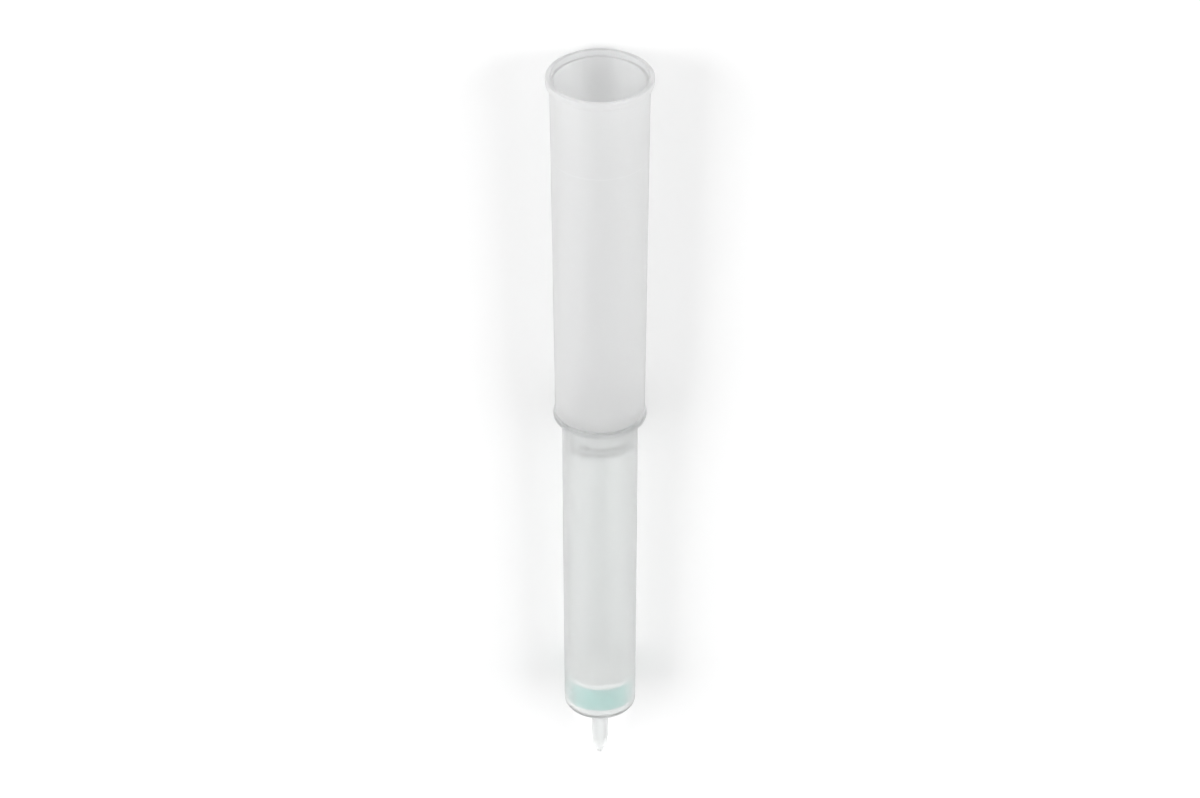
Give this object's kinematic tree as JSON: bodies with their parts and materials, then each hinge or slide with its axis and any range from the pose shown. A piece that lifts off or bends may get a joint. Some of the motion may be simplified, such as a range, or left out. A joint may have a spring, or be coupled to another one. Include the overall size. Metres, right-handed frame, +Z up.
{
  "type": "gravity flow chromatography column",
  "caption": "Flanged translucent column with sealed drip nozzle, resin bed between porous discs and a tall push-fit buffer reservoir, lying on its side.",
  "frame": {"origin": "on the floor under the middle of the whole, lying on its side as it comes to rest", "axes": "+X from the nozzle towards the reservoir's mouth, +Z up; the column's own axis climbs from the nozzle to the mouth by 1.67 degrees"},
  "size_m": [0.1908, 0.0248, 0.026],
  "materials": {
    "barrel_plastic": "clear to milky natural polypropylene, polished mould",
    "reservoir_plastic": "milky natural polypropylene, soft sheen",
    "frit": "white porous polyethylene",
    "resin": "packed wet beads, pale aqua"
  },
  "bodies": {
    "column": {"barrel": "barrel_plastic", "bottom_frit": "frit", "resin_bed": "resin", "top_frit": "frit"},
    "reservoir": {"buffer_reservoir": "reservoir_plastic"}
  },
  "joints": [
    {"name": "reservoir_pull", "type": "slide", "parent": "column", "child": "reservoir", "axis": [0.9996, 0, 0.0291], "range_m": [0, 0.012]}
  ]
}
